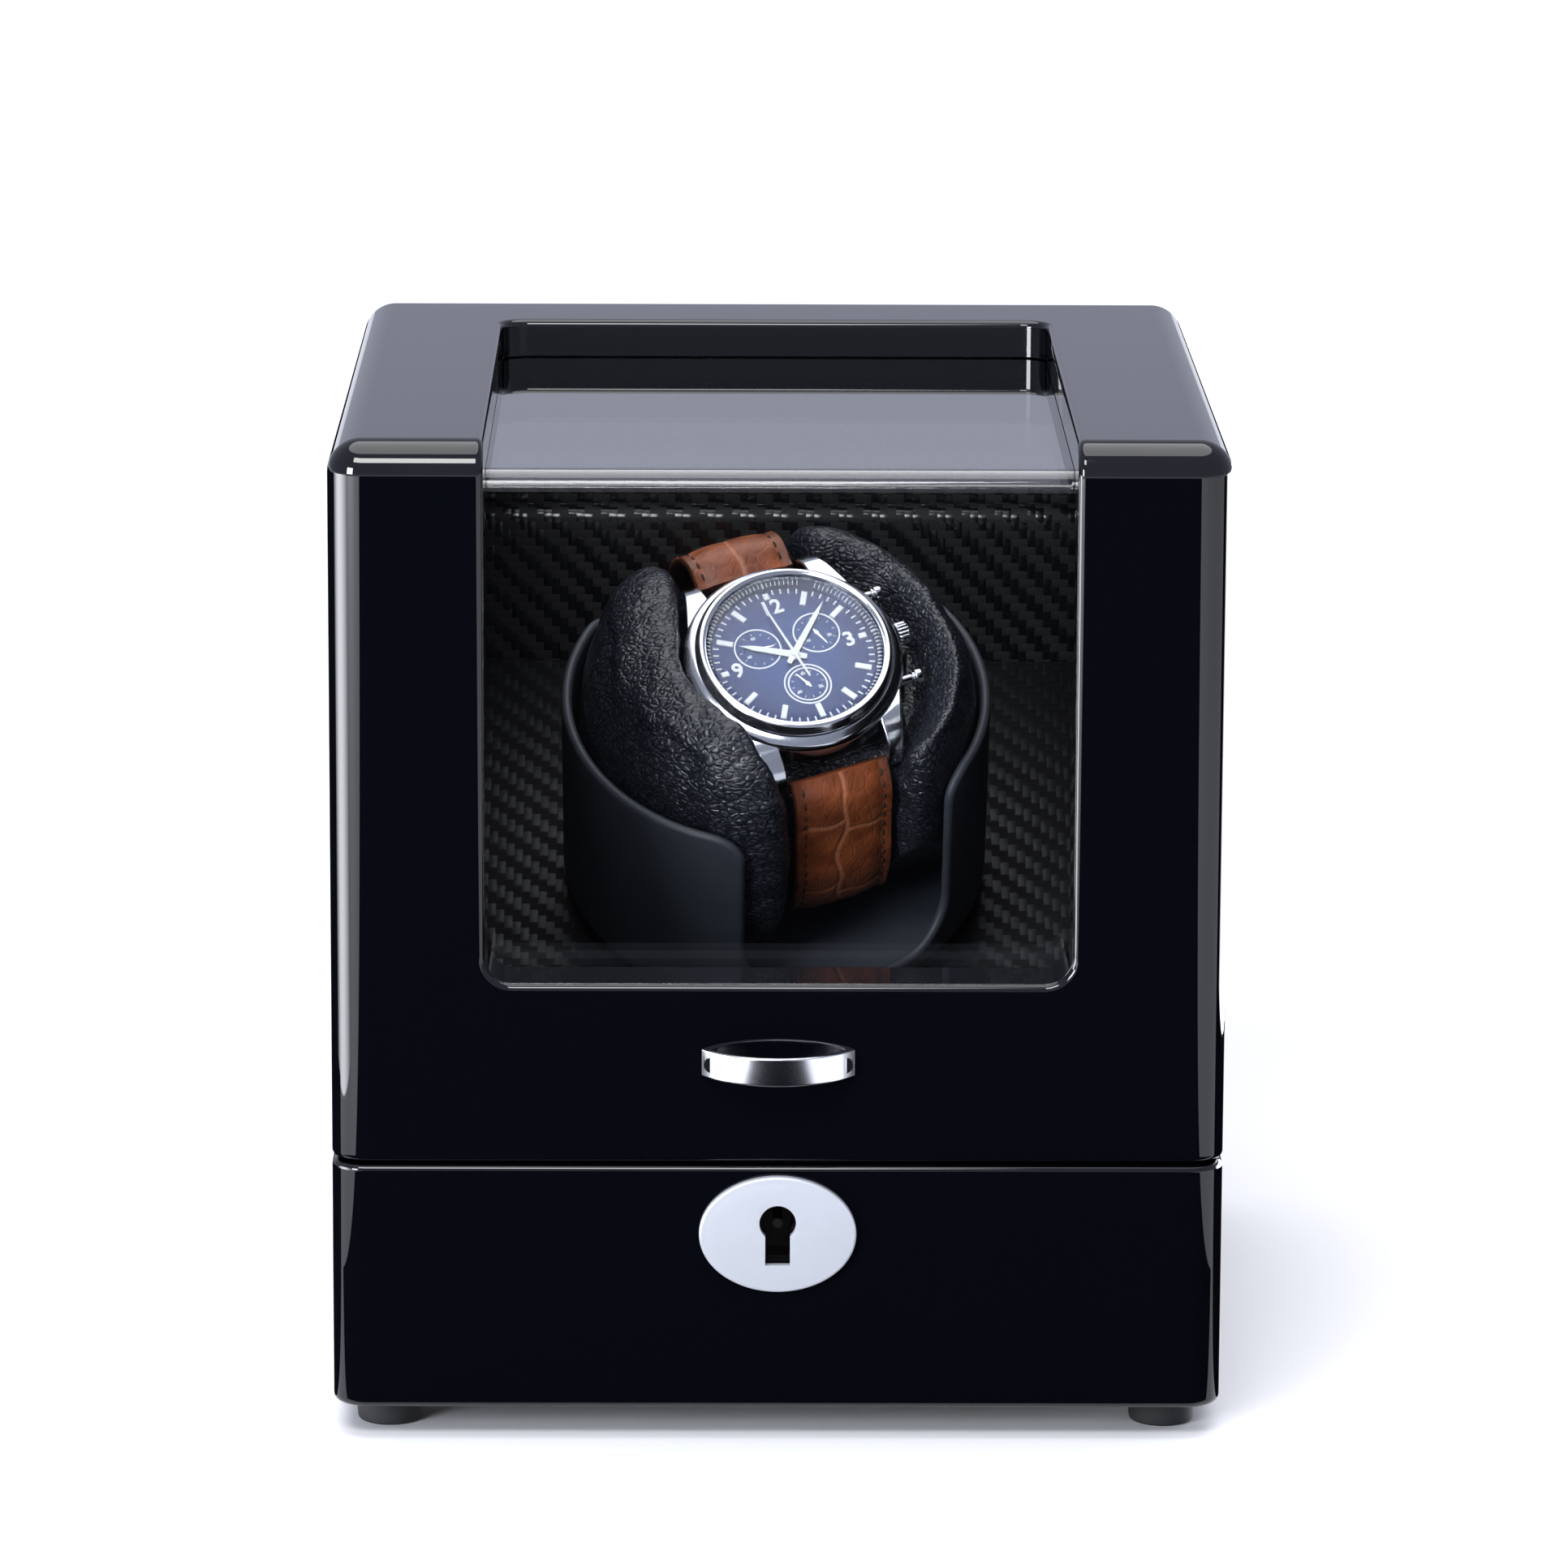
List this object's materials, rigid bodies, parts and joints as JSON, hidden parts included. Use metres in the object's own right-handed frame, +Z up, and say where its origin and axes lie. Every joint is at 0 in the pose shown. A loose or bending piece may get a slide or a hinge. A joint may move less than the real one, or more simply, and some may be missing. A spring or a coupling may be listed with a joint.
{
  "type": "watch winder box",
  "caption": "Lacquered box with a rear-hinged lid and bent clear window over a tilted motor-driven cup that turns a cushioned, strapped wristwatch.",
  "frame": {"origin": "on the floor, directly below the middle of the bounding box, which runs from the handle's bow to the hinge knuckles", "axes": "+Z up; -Y is the front, with the window, handle and lock; +X is to the right when looking at the front"},
  "size_m": [0.165, 0.186, 0.1876],
  "materials": {
    "lacquer": "gloss",
    "board": "matte",
    "rubber": "matte",
    "steel": "satin",
    "acrylic": "polished",
    "carbon_leatherette": "satin",
    "chrome": "polished",
    "watch_steel": "polished",
    "satin_chrome": "satin",
    "brass": "satin",
    "black_plastic": "satin",
    "circuit_board": "satin",
    "white_plastic": "satin",
    "soft_touch_plastic": "matte",
    "grain_leatherette": "satin",
    "brown_leather": "satin",
    "dial_blue": "gloss",
    "crystal": "polished"
  },
  "bodies": {
    "base": {"base_shell": "lacquer", "base_floor_board": "board", "foot_front_left": "rubber", "foot_front_right": "rubber", "foot_rear_left": "rubber", "foot_rear_right": "rubber", "drive_belt": "rubber", "floor_screw_front_left": "steel", "floor_screw_front_right": "steel", "floor_screw_rear_left": "steel", "floor_screw_rear_right": "steel", "lock_case": "steel", "hinge_pin_left": "steel", "hinge_pin_right": "steel", "motor_bracket": "steel", "gear_motor": "steel", "housing_left_cheek": "carbon_leatherette", "housing_right_cheek": "carbon_leatherette", "deck_panel": "carbon_leatherette", "housing_back_board": "carbon_leatherette", "lock_escutcheon": "satin_chrome", "lock_key_post": "satin_chrome", "hinge_base_leaf_left": "brass", "hinge_base_leaf_right": "brass", "rotor_bearing_bush": "brass", "rear_control_panel": "black_plastic", "dc_jack": "black_plastic", "mode_switch_body": "black_plastic", "motor_lead": "black_plastic", "control_board": "circuit_board"},
    "lid": {"lid_shell": "lacquer", "lid_window": "acrylic", "lid_back_liner": "carbon_leatherette", "lid_strike_plate": "steel", "lid_handle": "chrome", "lid_handle_nut_left": "steel", "lid_handle_nut_right": "steel", "hinge_lid_leaf_left": "brass", "hinge_lid_leaf_right": "brass"},
    "lock_bolt": {"lock_bolt": "steel"},
    "mode_knob": {"mode_knob": "black_plastic"},
    "rotor": {"rotor_cup": "soft_touch_plastic", "rotor_shaft": "steel", "rotor_pulley": "white_plastic", "spindle_screw": "steel"},
    "motor_pulley": {"motor_pulley": "white_plastic"},
    "cushion": {"watch_cushion": "grain_leatherette", "strap_upper": "brown_leather", "strap_lower": "brown_leather", "strap_buckle": "steel", "watch_case": "watch_steel", "watch_bezel": "watch_steel", "watch_dial": "dial_blue", "watch_crystal": "crystal"},
    "hour_hand": {"watch_hour_hand": "watch_steel"},
    "minute_hand": {"watch_minute_hand": "watch_steel"},
    "seconds_hand": {"watch_seconds_hand": "watch_steel"},
    "crown": {"watch_crown": "watch_steel"},
    "start_pusher": {"watch_start_pusher": "watch_steel"},
    "reset_pusher": {"watch_reset_pusher": "watch_steel"}
  },
  "joints": [
    {"name": "lid_hinge", "type": "hinge", "parent": "base", "child": "lid", "pos_m": [0, 0.09075, 0.0529], "axis": [-1, 0, 0], "range_deg": [0, 95]},
    {"name": "lock_bolt_slide", "type": "slide", "parent": "base", "child": "lock_bolt", "axis": [0, 0, 1], "range_m": [0, 0.0055]},
    {"name": "mode_knob_turn", "type": "hinge", "parent": "base", "child": "mode_knob", "pos_m": [0.022, 0.08255, 0.031], "axis": [0, -1, 0], "range_deg": [0, 270]},
    {"name": "rotor_spin", "type": "hinge", "parent": "base", "child": "rotor", "pos_m": [0, -0.00745, 0.126], "axis": [0, -0.5446, 0.8387], "continuous": true},
    {"name": "motor_pulley_spin", "type": "hinge", "parent": "base", "child": "motor_pulley", "pos_m": [0.036, 0.03248, 0.0792], "axis": [0, -0.5446, 0.8387], "continuous": true},
    {"name": "cushion_lift", "type": "slide", "parent": "rotor", "child": "cushion", "axis": [0, -0.5446, 0.8387], "range_m": [0, 0.018]},
    {"name": "minute_hand_turn", "type": "hinge", "parent": "cushion", "child": "minute_hand", "pos_m": [0.00329, -0.01774, 0.13541], "axis": [-0.0796, 0.6938, -0.7157], "continuous": true},
    {"name": "hour_hand_turn", "type": "hinge", "parent": "cushion", "child": "hour_hand", "pos_m": [0.00329, -0.01774, 0.13541], "axis": [-0.0796, 0.6938, -0.7157], "continuous": true},
    {"name": "seconds_hand_turn", "type": "hinge", "parent": "cushion", "child": "seconds_hand", "pos_m": [0.00329, -0.01774, 0.13541], "axis": [-0.0796, 0.6938, -0.7157], "continuous": true},
    {"name": "crown_turn", "type": "hinge", "parent": "cushion", "child": "crown", "pos_m": [0.02429, -0.00814, 0.13792], "axis": [0.9239, 0.3209, 0.2084], "continuous": true},
    {"name": "start_pusher_press", "type": "slide", "parent": "cushion", "child": "start_pusher", "axis": [-0.9239, -0.3209, -0.2084], "range_m": [0, 0.0008], "stiffness_N_per_m": 1500},
    {"name": "reset_pusher_press", "type": "slide", "parent": "cushion", "child": "reset_pusher", "axis": [-0.9239, -0.3209, -0.2084], "range_m": [0, 0.0008], "stiffness_N_per_m": 1500}
  ],
  "couplings": [
    {"joint": "motor_pulley_spin", "follows": "rotor_spin", "ratio": 3.667},
    {"joint": "hour_hand_turn", "follows": "minute_hand_turn", "ratio": 0.083333}
  ]
}
